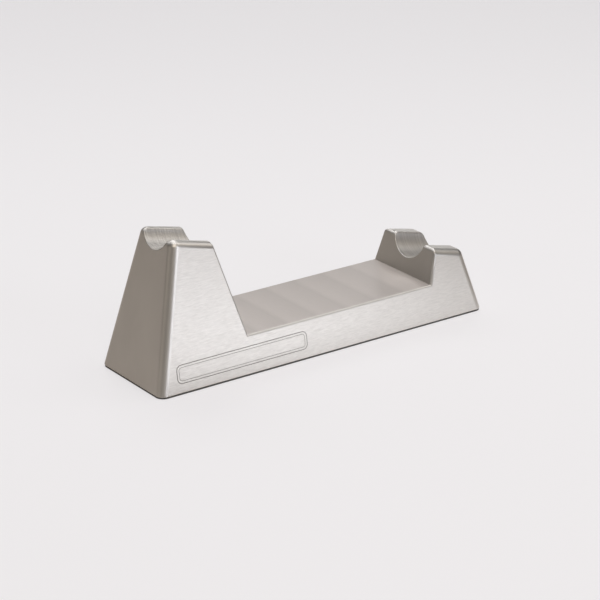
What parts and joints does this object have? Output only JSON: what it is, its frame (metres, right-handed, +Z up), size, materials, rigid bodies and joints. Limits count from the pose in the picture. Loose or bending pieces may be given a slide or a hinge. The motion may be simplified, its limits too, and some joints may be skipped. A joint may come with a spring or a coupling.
{
  "type": "razor stand",
  "caption": "Low machined metal stand with a tall and a short end post; half-round saddles across their sloping tops cradle the handle of a safety razor lying above a flat deck.",
  "frame": {"origin": "on the shelf, under the middle of the stand", "axes": "+X along the stand to the short post, -Y to the front face, +Z up"},
  "size_m": [0.1096, 0.0298, 0.0399],
  "materials": {
    "block": "bare satin aluminium: brushed side faces, milled deck, posts and saddles",
    "pads": "moulded matt silicone rubber, dark grey"
  },
  "bodies": {
    "root": {"stand_body": "block", "foot_tall_front": "pads", "foot_tall_rear": "pads", "foot_short_front": "pads", "foot_short_rear": "pads"}
  },
  "joints": []
}
